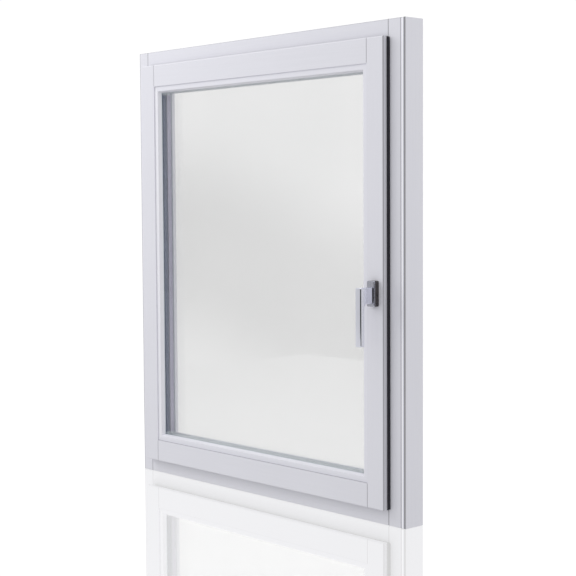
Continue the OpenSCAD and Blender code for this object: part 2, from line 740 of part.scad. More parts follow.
faceplate_z0 = rod_z0 - rod_travel - 34;
faceplate_z1 = rod_z1 + 34;
faceplate_screw_zs = [faceplate_z0 + 12, handle_z - 60, handle_z + 60, faceplate_z1 - 12];
module faceplate_screws_at(hole)
  for (z = faceplate_screw_zs)
    translate([body[2] + faceplate_t, groove_y, z]) rotate([0, -90, 0])
      if (hole) screw_hole(small_screw); else screw(small_screw);
module faceplate() color(steel)
  difference() {
    box([body[2], groove_y - faceplate_w / 2, faceplate_z0],
        [body[2] + faceplate_t, groove_y + faceplate_w / 2, faceplate_z1]);
    for (z = cam_z)
      box([body[2] - 1, groove_y - stem_r - 0.4, z - rod_travel - stem_r - 0.6],
          [body[2] + faceplate_t + 1, groove_y + stem_r + 0.4, z + stem_r + 0.6]);
    faceplate_screws_at(true);
  }
module faceplate_screws() color(steel) faceplate_screws_at(false);

// The rod is slotted where the two middle faceplate screws pass through it
module drive_rod() color(steel)
  difference() {
    union() {
      box([rod_x0, groove_y - rod_half_w, rod_z0], [rod_x1, groove_y + rod_half_w, rod_z1]);
      along_y(groove_y - rod_half_w + 1, groove_y + rod_half_w - 1) rack_outline();
    }
    for (z = [handle_z - 60, handle_z + 60])
      box([rod_x0 - 1, groove_y - 2.2, z - 2.6], [rod_x1 + 1, groove_y + 2.2, z + rod_travel + 2.6]);
  }
module rack_outline() {
  half = (tooth_pitch / 2 - tooth_play / 2) / 2;
  root = handle_x + pitch_r + dedendum + 0.2;
  tip = handle_x + pitch_r - addendum;
  lean = tan(20);
  for (i = [-3:rack_teeth - 4]) {
    z = handle_z + i * tooth_pitch;
    polygon([[root, z - half - (dedendum + 0.2) * lean], [tip, z - half + addendum * lean],
             [tip, z + half - addendum * lean], [root, z + half + (dedendum + 0.2) * lean]]);
  }
}
module locking_cams() color(steel)
  for (z = cam_z) {
    bar_x(rod_x1, cam_x0 + eps, groove_y, z, stem_r);
    bar_x(cam_x0, cam_x1, groove_y, z, cam_r);
  }

// Strikers: a plate on the frame rebate, with a catch that starts just above the cam
striker_below = 30;
striker_above = 45;
striker_screw_offsets = [-22, 37];
catch_y1 = groove_y - cam_r - 1.2;
striker_y0 = groove_y - cam_r - 6;
striker_y1 = groove_y + cam_r + 6;
module striker_screws_at(hole)
  for (z = cam_z, o = striker_screw_offsets)
    translate([rebate_x1 - striker_t, groove_y + 4, z + o]) rotate([0, 90, 0])
      if (hole) screw_hole(small_screw); else screw(small_screw);
module striker_screw_holes() striker_screws_at(true);
module strikers() color(steel)
  difference() {
    for (z = cam_z) {
      box([rebate_x1 - striker_t, striker_y0, z - striker_below],
          [rebate_x1, striker_y1, z + striker_above]);
      box([catch_x0, striker_y0, z + cam_r + catch_clear],
          [rebate_x1 - striker_t, catch_y1, z + cam_r + catch_clear + 24]);
    }
    striker_screws_at(true);
  }
module striker_screws() color(steel) striker_screws_at(false);

// ---- Handle ----

rose_screw_z = rose_h / 2 - 9;
module rose_screws_at(hole)
  for (z = [-rose_screw_z, rose_screw_z])
    translate([handle_x, sash_y - rose_base_t, handle_z + z]) rotate([-90, 0, 0])
      if (hole) screw_hole(rose_screw); else screw(rose_screw);
module rose_screws() color(steel) rose_screws_at(false);
module rose_outline(inset, r)
  polygon(rounded([handle_x - rose_w / 2 + inset, handle_z - rose_h / 2 + inset],
                  [handle_x + rose_w / 2 - inset, handle_z + rose_h / 2 - inset], [r, r, r, r]));
module rose_base() color([0.3, 0.3, 0.32])
  difference() {
    along_y(sash_y - rose_base_t, sash_y) rose_outline(rose_wall + 0.1, 1);
    bar_y(sash_y - 20, sash_y + 1, handle_x, handle_z, hub_out_r + 0.4);
    rose_screws_at(true);
  }
module rose_cover() color(chrome)
  difference() {
    along_y(sash_y - rose_t, sash_y) rose_outline(0, 2.6);
    along_y(sash_y - rose_t + rose_wall, sash_y + 1) rose_outline(rose_wall, 1.1);
    bar_y(sash_y - rose_t - 1, sash_y, handle_x, handle_z, hub_out_r + 0.4);
  }

// An L seen from the side: a deep neck that turns down into the grip
module lever() color(chrome)
  difference() {
    union() {
      intersection() {
        along_x(handle_x - lever_w / 2, handle_x + lever_w / 2) lever_side();
        along_z(handle_z - lever_down, handle_z + lever_up)
          polygon(rounded([handle_x - lever_w / 2, sash_y - lever_out],
                          [handle_x + lever_w / 2, neck_y], [lever_r, lever_r, 0.6, 0.6]));
      }
      bar_y(neck_y - 1, sash_y - rose_base_t - 1, handle_x, handle_z, hub_out_r);
    }
    square_hole(sash_y - 40, sash_y);
  }
module lever_side() {
  front = sash_y - lever_out;
  grip_y = front + grip_t;
  top = handle_z + lever_up;
  low = handle_z - lever_down;
  under = handle_z - neck_down;
  polygon(concat(
    [[front, top], [front, low]],
    arc([grip_y - 2, low + 2], 2, 270, 360),
    [[grip_y, under - neck_fillet]],
    [for (i = [1:8]) let (a = 180 - 90 * i / 8)
      [grip_y + neck_fillet, under - neck_fillet] + neck_fillet * [cos(a), sin(a)]],
    [[neck_y, under], [neck_y, top]]));
}
module handle_washer() color(rubber)
  difference() {
    bar_y(neck_y, sash_y - rose_t - washer_gap, handle_x, handle_z, washer_r);
    bar_y(neck_y - 1, sash_y, handle_x, handle_z, hub_out_r);
  }
module spindle() color(steel)
  box([handle_x - spindle_side / 2, sash_y - 40 + 0.1, handle_z - spindle_side / 2],
      [handle_x + spindle_side / 2, groove_y + case_half_t, handle_z + spindle_side / 2]);

jamb_left();
jamb_right();
head();
sill();
side_strip();
frame_gasket();
hinge_frame_plate_bottom();
hinge_frame_plate_top();
hinge_frame_screws();
strikers();
striker_screws();
stile_left();
stile_right();
rail_top();
rail_bottom();
sash_gasket();
bead_left();
bead_right();
bead_top();
bead_bottom();
bead_pins();
pane_inner();
pane_middle();
pane_outer();
spacer_inner();
spacer_outer();
edge_seal();
glazing_seal_inner();
glazing_seal_outer();
setting_blocks();
hinge_sash_plate_bottom();
hinge_sash_plate_top();
hinge_bushes();
hinge_sash_screws();
gear_case();
gear_case_lid();
gear_case_screws();
faceplate();
faceplate_screws();
rose_base();
rose_cover();
rose_screws();
lever();
handle_washer();
spindle();
pinion();
drive_rod();
locking_cams();
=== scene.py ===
# Timber casement window: white lacquered frame and sash, triple glazing, lever handle.
import json
import math
import bmesh
import bpy
import numpy as np
from mathutils import Matrix, Vector


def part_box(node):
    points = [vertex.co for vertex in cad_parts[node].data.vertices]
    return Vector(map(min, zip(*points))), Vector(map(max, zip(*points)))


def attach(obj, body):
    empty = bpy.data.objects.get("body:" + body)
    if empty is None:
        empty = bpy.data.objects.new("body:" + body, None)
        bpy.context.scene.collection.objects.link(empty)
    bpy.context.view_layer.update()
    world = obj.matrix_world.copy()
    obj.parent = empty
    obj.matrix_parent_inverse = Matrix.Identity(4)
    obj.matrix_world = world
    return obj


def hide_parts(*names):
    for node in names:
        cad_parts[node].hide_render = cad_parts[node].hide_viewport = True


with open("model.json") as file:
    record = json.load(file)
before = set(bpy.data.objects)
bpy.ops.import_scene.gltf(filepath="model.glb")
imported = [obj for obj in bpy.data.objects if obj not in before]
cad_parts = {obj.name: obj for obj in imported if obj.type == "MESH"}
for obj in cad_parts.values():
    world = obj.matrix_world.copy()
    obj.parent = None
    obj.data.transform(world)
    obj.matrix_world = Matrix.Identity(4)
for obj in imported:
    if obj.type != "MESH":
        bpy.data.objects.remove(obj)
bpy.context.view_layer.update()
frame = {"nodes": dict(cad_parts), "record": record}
print("frame loaded:", len(frame["nodes"]), "CAD nodes")

mm = 0.001
scene = bpy.context.scene
scene.view_settings.view_transform = "Standard"


camera = {
    "place": (2.824, -2.480, 0.8053),
    "turn": 47.91,      # degrees from +Y towards -X
    "tilt": -3.57,
    "roll": 0.34,
    "lens": 85.81,
}


def makeCamera(c):
    turn, tilt, roll = (math.radians(c[k]) for k in ("turn", "tilt", "roll"))
    forward = Vector((-math.sin(turn) * math.cos(tilt), math.cos(turn) * math.cos(tilt), math.sin(tilt)))
    level = Vector((math.cos(turn), math.sin(turn), 0))
    upright = level.cross(forward)
    right = math.cos(roll) * level - math.sin(roll) * upright
    up = math.sin(roll) * level + math.cos(roll) * upright
    data = bpy.data.cameras.new("camera")
    data.lens = c["lens"]
    data.sensor_width = 36
    data.clip_end = 60
    made = bpy.data.objects.new("camera", data)
    made.matrix_world = Matrix((right, up, -forward)).transposed().to_4x4()
    made.matrix_world.translation = Vector(c["place"])
    scene.collection.objects.link(made)
    scene.camera = made


makeCamera(camera)
print("camera set")


class Wire:
    # wraps one output socket; arithmetic on it adds Math nodes
    def __init__(self, tree, socket=None):
        self.tree = tree
        self.socket = socket

    def node(self, kind, settings=None, inputs=None, output=0):
        # settings first, then the values or links of its sockets
        made = self.tree.nodes.new(kind)
        for key, value in (settings or {}).items():
            setattr(made, key, value)
        for key, value in (inputs or {}).items():
            if isinstance(value, Wire):
                self.tree.links.new(value.socket, made.inputs[key])
            else:
                made.inputs[key].default_value = value
        return Wire(self.tree, made.outputs[output])

    def show(self, surface, kind="ShaderNodeOutputMaterial"):
        # links the finished shader to the output
        self.tree.links.new(surface.socket, self.tree.nodes.new(kind).inputs[0])

    def math(self, operation, first, second=0.0, third=0.0):
        return self.node("ShaderNodeMath", {"operation": operation}, {0: first, 1: second, 2: third})

    def __add__(self, other):
        return self.math("ADD", self, other)

    def __radd__(self, other):
        return self.math("ADD", other, self)

    def __sub__(self, other):
        return self.math("SUBTRACT", self, other)

    def __rsub__(self, other):
        return self.math("SUBTRACT", other, self)

    def __mul__(self, other):
        return self.math("MULTIPLY", self, other)

    def __rmul__(self, other):
        return self.math("MULTIPLY", other, self)

    def smooth(self, low, high, start=0.0, end=1.0):
        return self.node("ShaderNodeMapRange", {"interpolation_type": "SMOOTHSTEP"},
                         {0: self, 1: low, 2: high, 3: start, 4: end})

    def blend(self, first, second):
        # colour mix with this value as its factor
        return self.node("ShaderNodeMix", {"data_type": "RGBA"}, {0: self, 6: first, 7: second}, 2)


def newMaterial(name):
    material = bpy.data.materials.new(name)
    material.use_nodes = True
    material.node_tree.nodes.clear()
    return material, Wire(material.node_tree)


def finishMaterial(wire, inputs, bump=None):
    # principled surface; bump is (height, strength, distance)
    inputs = dict(inputs)
    if bump:
        height, strength, distance = bump
        inputs["Normal"] = wire.node("ShaderNodeBump", None,
                                     {"Height": height, "Strength": strength, "Distance": distance})
    wire.show(wire.node("ShaderNodeBsdfPrincipled", None, inputs))


def objectPlace(wire, scale=(1, 1, 1), shift=(0, 0, 0)):
    place = wire.node("ShaderNodeTexCoord", output="Object")
    return wire.node("ShaderNodeMapping", None, {"Vector": place, "Location": shift, "Scale": scale})


def noise(wire, place, size, detail=3.0, rough=0.5, warp=0.0):
    return wire.node("ShaderNodeTexNoise", None,
                     {"Vector": place, "Scale": size, "Detail": detail, "Roughness": rough,
                      "Distortion": warp}, "Fac")


print("shader helper ready")

# where painted shade falls on the lacquer (arrises, lip side, open joints) and where painted light does
# (strip's nose, leg behind the glass)
paintedLightAndShadeLook = {
    "corner": 0.5395, "face": -0.034, "radius": 0.0048, "loss": 0.55,
    "edge": 0.0002, "lip": 0.4875, "lipFace": -0.0545, "lipRadius": 0.0028, "lipLoss": 0.48,
    "lipSidePaintedShade": 0.14, "lipBack": -0.042,
    "top": 1.25, "topRadius": 0.003, "topLoss": 0.30,
    "stripFrom": 0.5284, "stripTo": 0.5362, "stripPaintedLight": 1.26,
    "frameJoints": (-0.4975, 0.4855, 0.5275), "sashJoints": (-0.4425, 0.4305),
    "glazed": (0.1005, 1.147), "jointHalf": 0.0011, "jointLoss": 0.72, "sashLoss": 0.42,
    "beadJoint": 0.102, "beadLoss": 0.24,
    "outerFrom": 0.003, "outerTo": 0.0125, "outerPaintedLight": 1.17,
}


def paintedLightAndShade(wire, look):
    # painted light and shade in the lacquer's colour, as how much light it keeps: painted shade on the
    # arrises, by the squared distance from the corner line, on the lip's side and in the open joints, by
    # the distance from their planes; painted light on the strip's nose and on the leg behind the glass
    place = wire.node("ShaderNodeTexCoord", output="Object")
    across, depth, rise = (wire.node("ShaderNodeSeparateXYZ", None, {0: place}, axis) for axis in "XYZ")

    # painted shade on an arris, fading with the squared distance from its corner line
    def paintedArrisShade(first, second, radius, loss):
        spread = first * first + second * second
        return 1 - spread.smooth((0.5 * radius) ** 2, radius ** 2, loss, 0.0)

    # painted shade in an open joint, fading with the distance from its plane
    def paintedJointShade(value, place, loss):
        away = wire.math("ABSOLUTE", value - place)
        return away.smooth(look["jointHalf"] * 0.6, look["jointHalf"], loss, 0.0)

    def within(value, low, high):
        soft = look["edge"]
        return value.smooth(low - soft, low + soft) * value.smooth(high - soft, high + soft, 1.0, 0.0)

    side = wire.math("ABSOLUTE", across)
    back = depth - look["face"]
    keep = paintedArrisShade(side - look["corner"], back, look["radius"], look["loss"])
    keep = keep * paintedArrisShade(across - look["lip"], depth - look["lipFace"], look["lipRadius"], look["lipLoss"])
    keep = keep * paintedArrisShade(rise - look["top"], back, look["topRadius"], look["topLoss"])
    # painted shade on the lip's side, a flat share darker
    edge = within(across, look["lip"] - 0.0003, look["lip"] + 0.0004)
    keep = keep * (1 - edge * within(depth, look["lipFace"], look["lipBack"]) * look["lipSidePaintedShade"])
    # painted shade in the open joints of frame and sash, and along the beads' foot
    onFrame = within(back, -0.001, 0.0029)
    onSash = within(depth - look["lipFace"], -0.001, 0.0029)
    rails = 1 - within(rise, *look["glazed"])
    for joint in look["frameJoints"]:
        keep = keep * (1 - paintedJointShade(across, joint, look["jointLoss"]) * onFrame)
    for joint in look["sashJoints"]:
        keep = keep * (1 - paintedJointShade(across, joint, look["sashLoss"]) * onSash * rails)
    foot = paintedJointShade(rise, look["beadJoint"], look["beadLoss"])
    keep = keep * (1 - foot * within(across, *look["sashJoints"]))
    # painted light: the strip's nose and the leg behind the glass are made lighter
    nose = within(across, look["stripFrom"], look["stripTo"]) * within(back, -0.001, 0.0006)
    outer = within(depth, look["outerFrom"], look["outerTo"]) * within(side, 0.41, 0.4485)
    outer = outer * within(rise, *look["glazed"])
    return keep * (1 + nose * (look["stripPaintedLight"] - 1)) * (1 + outer * (look["outerPaintedLight"] - 1))


lacquerLook = {
    "light": (0.828, 0.828, 0.893),
    "dark": (0.805, 0.804, 0.868),
    "roughness": 0.36,
    "grainFine": 240.0,      # across the grain, per metre
    "grainLong": 5.0,        # along the grain
    "peel": 900.0,
    "bump": 0.10,
}


def lacquer(name, axis, shift, paintedLight=1.0):
    # opaque white lacquer: the grain shows faintly under a skin with a light orange peel; painted light
    # and shade are multiplied into its colour by place
    material, wire = newMaterial(name)
    look = lacquerLook
    scale = [look["grainFine"] / 10] * 3
    scale["XYZ".index(axis)] = look["grainLong"] / 10
    grain = noise(wire, objectPlace(wire, tuple(scale), shift), 10.0, 4.0, 0.6, 0.4)
    broad = noise(wire, objectPlace(wire, (1, 1, 1), shift), 3.2, 2.0)
    peel = noise(wire, objectPlace(wire), look["peel"], 1.0)
    tone = (grain * 0.55 + broad * 0.45).smooth(0.3, 0.7)
    # a factor above one makes a lighter copy of the lacquer: painted light
    dark, light = ([min(share * paintedLight, 0.97) for share in look[key]] for key in ("dark", "light"))
    colour = tone.blend((*dark, 1), (*light, 1))
    # painted light and shade scale the lacquer's colour
    colour = wire.node("ShaderNodeVectorMath", {"operation": "SCALE"},
                       {0: colour, "Scale": paintedLightAndShade(wire, paintedLightAndShadeLook)}, "Vector")
    height = grain * 0.7 + peel * 0.3
    finishMaterial(wire, {"Base Color": colour, "Roughness": grain * 0.10 + (look["roughness"] - 0.05),
                          "Coat Weight": 0.3, "Coat Roughness": 0.14, "IOR": 1.46},
                   (height, look["bump"], 0.0003))
    return material


rubberLook = {"light": (0.011, 0.010, 0.019), "dark": (0.005, 0.004, 0.010), "roughness": 0.6}


def rubber(name, look):
    # black rubber with a faint bloom and fine grit
    material, wire = newMaterial(name)
    bloom = noise(wire, objectPlace(wire), 22.0, 4.0, 0.6)
    grit = noise(wire, objectPlace(wire), 2600.0, 2.0)
    colour = bloom.smooth(0.35, 0.7).blend((*look["dark"], 1), (*look["light"], 1))
    finishMaterial(wire, {"Base Color": colour, "Roughness": bloom * 0.2 + (look["roughness"] - 0.1)},
                   (grit, 0.25, 0.0002))
    return material


steelLook = {"light": (0.66, 0.67, 0.70), "dark": (0.50, 0.52, 0.56), "roughness": 0.3}


def zincSteel(name, look):
    # bright zinc plate: soft cloudy patches and fine rolling marks
    material, wire = newMaterial(name)
    cloud = noise(wire, objectPlace(wire), 60.0, 3.0, 0.6)
    marks = noise(wire, objectPlace(wire, (1, 1, 0.05)), 1400.0, 2.0)
    colour = cloud.smooth(0.3, 0.7).blend((*look["dark"], 1), (*look["light"], 1))
    finishMaterial(wire, {"Base Color": colour, "Metallic": 1.0,
                          "Roughness": cloud * 0.16 + marks * 0.08 + (look["roughness"] - 0.1)},
                   (marks, 0.08, 0.0001))
    return material


handleLook = {"light": (0.87, 0.88, 0.97), "dark": (0.83, 0.84, 0.925), "roughness": 0.145}
roseLook = {"light": (0.53, 0.535, 0.60), "dark": (0.48, 0.485, 0.545), "roughness": 0.26}


def satinMetal(name, look):
    # satin metal, brushed along the lever
    material, wire = newMaterial(name)
    brush = noise(wire, objectPlace(wire, (1, 1, 0.012)), 2400.0, 3.0, 0.65)
    haze = noise(wire, objectPlace(wire), 35.0, 3.0)
    colour = (brush * 0.6 + haze * 0.4).smooth(0.3, 0.7).blend((*look["dark"], 1), (*look["light"], 1))
    finishMaterial(wire, {"Base Color": colour, "Metallic": 1.0,
                          "Roughness": brush * 0.12 + haze * 0.06 + (look["roughness"] - 0.09)},
                   (brush, 0.06, 0.00005))
    return material


def pigmented(name, look):
    # moulded or cured material in one pigment, with slight flow marks
    material, wire = newMaterial(name)
    flow = noise(wire, objectPlace(wire), look["size"], 4.0, 0.55, 0.6)
    fine = noise(wire, objectPlace(wire), look["size"] * 30, 2.0)
    colour = flow.smooth(0.3, 0.7).blend((*look["dark"], 1), (*look["light"], 1))
    finishMaterial(wire, {"Base Color": colour, "Metallic": look.get("metallic", 0.0),
                          "Roughness": flow * 0.15 + (look["roughness"] - 0.07)},
                   (fine, look.get("bump", 0.08), 0.0001))
    return material


glassLook = {"light": (0.934, 0.934, 0.934), "dark": (0.922, 0.923, 0.923), "lamps": (0.985, 0.986, 0.986)}


def clearGlass(name, look):
    # clear float glass that lets lamps through, with the least unevenness of its two skins
    material, wire = newMaterial(name)
    waves = noise(wire, objectPlace(wire), 1.6, 1.0)
    colour = waves.smooth(0.3, 0.7).blend((*look["dark"], 1), (*look["light"], 1))
    pane = wire.node("ShaderNodeBsdfPrincipled", None,
                     {"Base Color": colour, "Roughness": 0.0, "IOR": 1.5, "Transmission Weight": 1.0})
    lamps = wire.node("ShaderNodeBsdfTransparent", None, {"Color": (*look["lamps"], 1)})
    shadow = wire.node("ShaderNodeLightPath", output="Is Shadow Ray")
    spread = wire.node("ShaderNodeLightPath", output="Is Diffuse Ray")
    through = wire.math("MAXIMUM", shadow, spread)
    wire.show(wire.node("ShaderNodeMixShader", None, {0: through, 1: pane, 2: lamps}))
    return material


# level is the pale colour of the painted light on the bars at the foot and the top
spacerLook = {"light": (0.180, 0.210, 0.295), "dark": (0.150, 0.175, 0.250), "roughness": 0.42,
              "holeStep": 4.2, "holeSize": 0.3, "level": (0.74, 0.80, 0.84), "paintedLightShare": 0.85}


def spacerBar(name, look):
    # rolled spacer bar: a row of small drying holes, spaced evenly along both axes of the frame, and
    # painted light: the bars at the foot and the top are painted paler
    material, wire = newMaterial(name)
    rolled = noise(wire, objectPlace(wire), 90.0, 3.0, 0.6)
    place = wire.node("ShaderNodeSeparateXYZ", None, {0: objectPlace(wire)}, "X")
    level = wire.node("ShaderNodeSeparateXYZ", None, {0: objectPlace(wire)}, "Z")
    step = look["holeStep"] * mm
    alongX = wire.math("ABSOLUTE", wire.math("FRACT", place * (1 / step)) - 0.5)
    alongZ = wire.math("ABSOLUTE", wire.math("FRACT", level * (1 / step)) - 0.5)
    hole = wire.math("MINIMUM", alongX, alongZ).smooth(0.04, 0.10, 1.0, 0.0)
    base = rolled.smooth(0.3, 0.7).blend((*look["dark"], 1), (*look["light"], 1))
    # painted light: the bars along the foot and the top are blended towards a pale colour
    ends = wire.math("ABSOLUTE", level - 0.624).smooth(0.494, 0.502) * look["paintedLightShare"]
    base = ends.blend(base, (*look["level"], 1))
    shade = hole * look["holeSize"]
    colour = shade.blend(base, (0.02, 0.022, 0.03, 1))
    finishMaterial(wire, {"Base Color": colour, "Metallic": 0.25,
                          "Roughness": rolled * 0.14 + (look["roughness"] - 0.07)},
                   (rolled - hole * 0.5, 0.15, 0.0001))
    return material


lacquerUpright = lacquer("lacquerUpright", "Z", (0.31, 0.12, 0.0))
lacquerLevel = lacquer("lacquerLevel", "X", (0.0, 0.53, 0.27))
# painted light: the beads' lacquer is 4 per cent lighter than the frame's, and the left bead's is 12 per
# cent lighter
beadUpright = lacquer("beadUpright", "Z", (0.7, 0.2, 0.0), 1.04)
beadLit = lacquer("beadLit", "Z", (0.7, 0.2, 0.0), 1.12)
beadLevel = lacquer("beadLevel", "X", (0.0, 0.1, 0.6), 1.04)
blackRubber = rubber("blackRubber", rubberLook)
zinc = zincSteel("zincPlate", steelLook)
handleMetal = satinMetal("handleMetal", handleLook)
roseMetal = satinMetal("roseMetal", roseLook)
glazing = clearGlass("floatGlass", glassLook)
spacerMetal = spacerBar("spacerMetal", spacerLook)
paleLook = {**spacerLook, "light": (0.58, 0.56, 0.71), "dark": (0.53, 0.51, 0.65)}
spacerPale = spacerBar("spacerPale", paleLook)
sealant = pigmented("sealant", {"light": (0.62, 0.68, 0.75), "dark": (0.56, 0.62, 0.69),
                                "roughness": 0.5, "size": 40.0})
edgeSealant = pigmented("edgeSealant", {"light": (0.035, 0.035, 0.04), "dark": (0.02, 0.02, 0.024),
                                        "roughness": 0.6, "size": 50.0, "bump": 0.2})
blockPlastic = pigmented("blockPlastic", {"light": (0.05, 0.09, 0.12), "dark": (0.03, 0.06, 0.08),
                                          "roughness": 0.45, "size": 60.0})
darkPlastic = pigmented("darkPlastic", {"light": (0.025, 0.025, 0.03), "dark": (0.014, 0.014, 0.018),
                                        "roughness": 0.4, "size": 70.0})
roseSide = pigmented("roseSide", {"light": (0.085, 0.078, 0.078), "dark": (0.055, 0.050, 0.052),
                                  "roughness": 0.28, "size": 90.0, "metallic": 0.6})

levelTimber = ["head", "sill", "rail_top", "rail_bottom", "bead_top", "bead_bottom"]
finishes = {
    "lacquered_timber": lacquerUpright, "pane_glass": glazing, "spacer_bar": spacerMetal,
    "edge_sealant": edgeSealant, "glazing_sealant": sealant, "gasket_rubber": blackRubber,
    "block_plastic": blockPlastic, "plated_steel": zinc, "handle_metal": handleMetal,
    "dark_plastic": darkPlastic,
}
slotOf = {part["node"]: part["material_slot"] for part in frame["record"]["subparts"]}
for node, slotName in slotOf.items():
    finish = lacquerLevel if node in levelTimber else finishes[slotName]
    slots = frame["nodes"][node].material_slots
    if len(slots) == 0:
        frame["nodes"][node].data.materials.append(finish)
    for held in slots:
        held.material = finish
print("materials assigned")


def soften(node, look):
    # the timber's sharp arrises are rubbed down before it is lacquered
    part = frame["nodes"][node]
    weld = part.modifiers.new("weld", "WELD")
    weld.merge_threshold = 0.00002
    bevel = part.modifiers.new("arris", "BEVEL")
    bevel.width = look["width"] * mm
    bevel.segments = look["steps"]
    bevel.limit_method = "ANGLE"
    bevel.angle_limit = math.radians(40)
    bevel.harden_normals = False


def arcPoints(centre, radius, start, end, count):
    # points at even turns from start to end degrees round the centre
    turn = np.radians(np.linspace(start, end, count + 1))
    return np.stack((centre[0] + radius * np.cos(turn), centre[1] + radius * np.sin(turn)), -1)


def softBox(low, high, radius, count=6):
    # rectangle with a quarter circle at each corner; radius is one number or one for each corner
    r = np.broadcast_to(radius, 4)
    centres = ((low[0] + r[0], low[1] + r[0]), (high[0] - r[1], low[1] + r[1]),
               (high[0] - r[2], high[1] - r[2]), (low[0] + r[3], high[1] - r[3]))
    arcs = [arcPoints(centres[k], r[k], 180 + 90 * k, 270 + 90 * k, count) for k in range(4)]
    return np.concatenate(arcs)


def inwards(outline):
    # the step that moves the two edges at each point inwards by one:
    # the sum of their unit normals over one plus their cosine
    edge = np.roll(outline, -1, 0) - outline
    edge = edge / np.linalg.norm(edge, axis=1, keepdims=True)
    normal = np.stack((-edge[:, 1], edge[:, 0]), -1)
    before = np.roll(normal, 1, 0)
    return (normal + before) / (1 + (normal * before).sum(1, keepdims=True))


def gridFaces(rows, columns, wrapRows, wrapColumns):
    # the quads between neighbouring points, going round where the grid closes on itself
    row, column = np.meshgrid(np.arange(rows if wrapRows else rows - 1),
                              np.arange(columns if wrapColumns else columns - 1), indexing="ij")
    nextRow = (row + 1) % rows
    nextColumn = (column + 1) % columns
    corners = (row * columns + column, row * columns + nextColumn,
               nextRow * columns + nextColumn, nextRow * columns + column)
    return np.stack(corners, -1).reshape(-1, 4).tolist()


class Shell:
    # points and faces of one or more closed surfaces that go into one mesh
    def __init__(self):
        self.points = []
        self.faces = []
        self.marks = []
        self.count = 0

    def add(self, points, faces, mark=0):
        flat = points.reshape(-1, 3)
        self.points.append(flat)
        self.faces += [[corner + self.count for corner in face] for face in faces]
        self.marks += [mark] * len(faces)
        self.count += len(flat)
        return self


def turnTo(axis, across, up, depth):
    # puts two flat directions and a depth into X, Y and Z for a shape that is flat across the axis
    order = {"X": (depth, across, up), "Y": (across, depth, up), "Z": (across, up, depth)}
    return np.stack(np.broadcast_arrays(*order[axis]), -1)


def slab(shell, axis, outline, low, high, arrisLow, arrisHigh, mark=0, steps=5):
    # the outline at each depth, drawn inwards by r (1 - sin t) and raised by r (1 - cos t) round
    # each arris, with one more row just inside it that keeps the flat face flat
    t = np.radians(np.linspace(0, 90, steps + 1))
    hold = 0.15 * mm
    inset = np.concatenate(([arrisLow + hold], arrisLow * (1 - np.sin(t)), arrisHigh * (1 - np.cos(t)),
                            [arrisHigh + hold]))
    depth = np.concatenate(([low], low + arrisLow * (1 - np.cos(t)),
                            high - arrisHigh * (1 - np.sin(t)), [high]))
    flat = outline + inset[:, None, None] * inwards(outline)
    points = turnTo(axis, flat[..., 0], flat[..., 1], depth[:, None])
    rows, columns = len(inset), len(outline)
    faces = gridFaces(rows, columns, False, True)
    faces += [list(range(columns)), list(range((rows - 1) * columns, rows * columns))]
    return shell.add(points, faces, mark)


def ring(shell, box, profile, radius, mark=0, count=5):
    # the profile, as distance inwards and depth, carried round a rectangle in X and Z: the corner
    # of each line has the same centre, so its radius is what is left of the outer one
    inward, depth = profile[:, 0], profile[:, 1]
    reach = np.maximum(inward, radius)
    left = np.maximum(radius - inward, 0)
    turn = np.radians(np.linspace(0, 90, count + 1))
    corners = ((0, 1, 180), (2, 1, 270), (2, 3, 0), (0, 3, 90))
    across, up = [], []
    for sideX, sideZ, start in corners:
        angle = math.radians(start) + turn
        centreX = box[sideX] + reach * (1 if sideX == 0 else -1)
        centreZ = box[sideZ] + reach * (1 if sideZ == 1 else -1)
        across.append(centreX[:, None] + left[:, None] * np.cos(angle))
        up.append(centreZ[:, None] + left[:, None] * np.sin(angle))
    points = turnTo("Y", np.concatenate(across, 1), np.concatenate(up, 1), depth[:, None])
    return shell.add(points, gridFaces(points.shape[0], points.shape[1], True, True), mark)


def stick(shell, box, side, profile, gap=0.05 * mm, mark=0):
    # the profile carried along one side of the rectangle and cut at 45 degrees: the end of each
    # line stands in from the corner by its own distance inwards
    inward, depth = profile[:, 0], profile[:, 1]
    upright = side in ("left", "right")
    sign = -1 if side in ("right", "top") else 1
    edge = {"left": box[0], "right": box[2], "bottom": box[1], "top": box[3]}[side]
    low, high = (box[1], box[3]) if upright else (box[0], box[2])
    fixed = edge + sign * inward
    ends = np.stack((low + inward + gap, high - inward - gap))
    across, up = (fixed[None], ends) if upright else (ends, fixed[None])
    points = turnTo("Y", across, up, depth[None])
    faces = gridFaces(2, len(profile), False, True)
    faces += [list(range(len(profile))), list(range(len(profile), 2 * len(profile)))]
    return shell.add(points, faces, mark)


def turned(shell, axis, centre, profile, count=32, star=None, mark=0):
    # the profile, as radius and height, spun round the axis; a star's radius is
    # r (1 + depth cos 6a) and is given for each point of the profile
    radius, height = profile[:, 0], profile[:, 1]
    angle = np.linspace(0, 2 * np.pi, count, endpoint=False)
    wave = 1 if star is None else 1 + star[:, None] * np.cos(6 * angle)
    spread = radius[:, None] * wave
    first, second = [k for k in range(3) if k != "XYZ".index(axis)]
    points = np.empty((len(profile), count, 3))
    points[..., first] = centre[first] + spread * np.cos(angle)
    points[..., second] = centre[second] + spread * np.sin(angle)
    points[..., "XYZ".index(axis)] = centre["XYZ".index(axis)] + height[:, None]
    return shell.add(points, gridFaces(len(profile), count, False, True), mark)


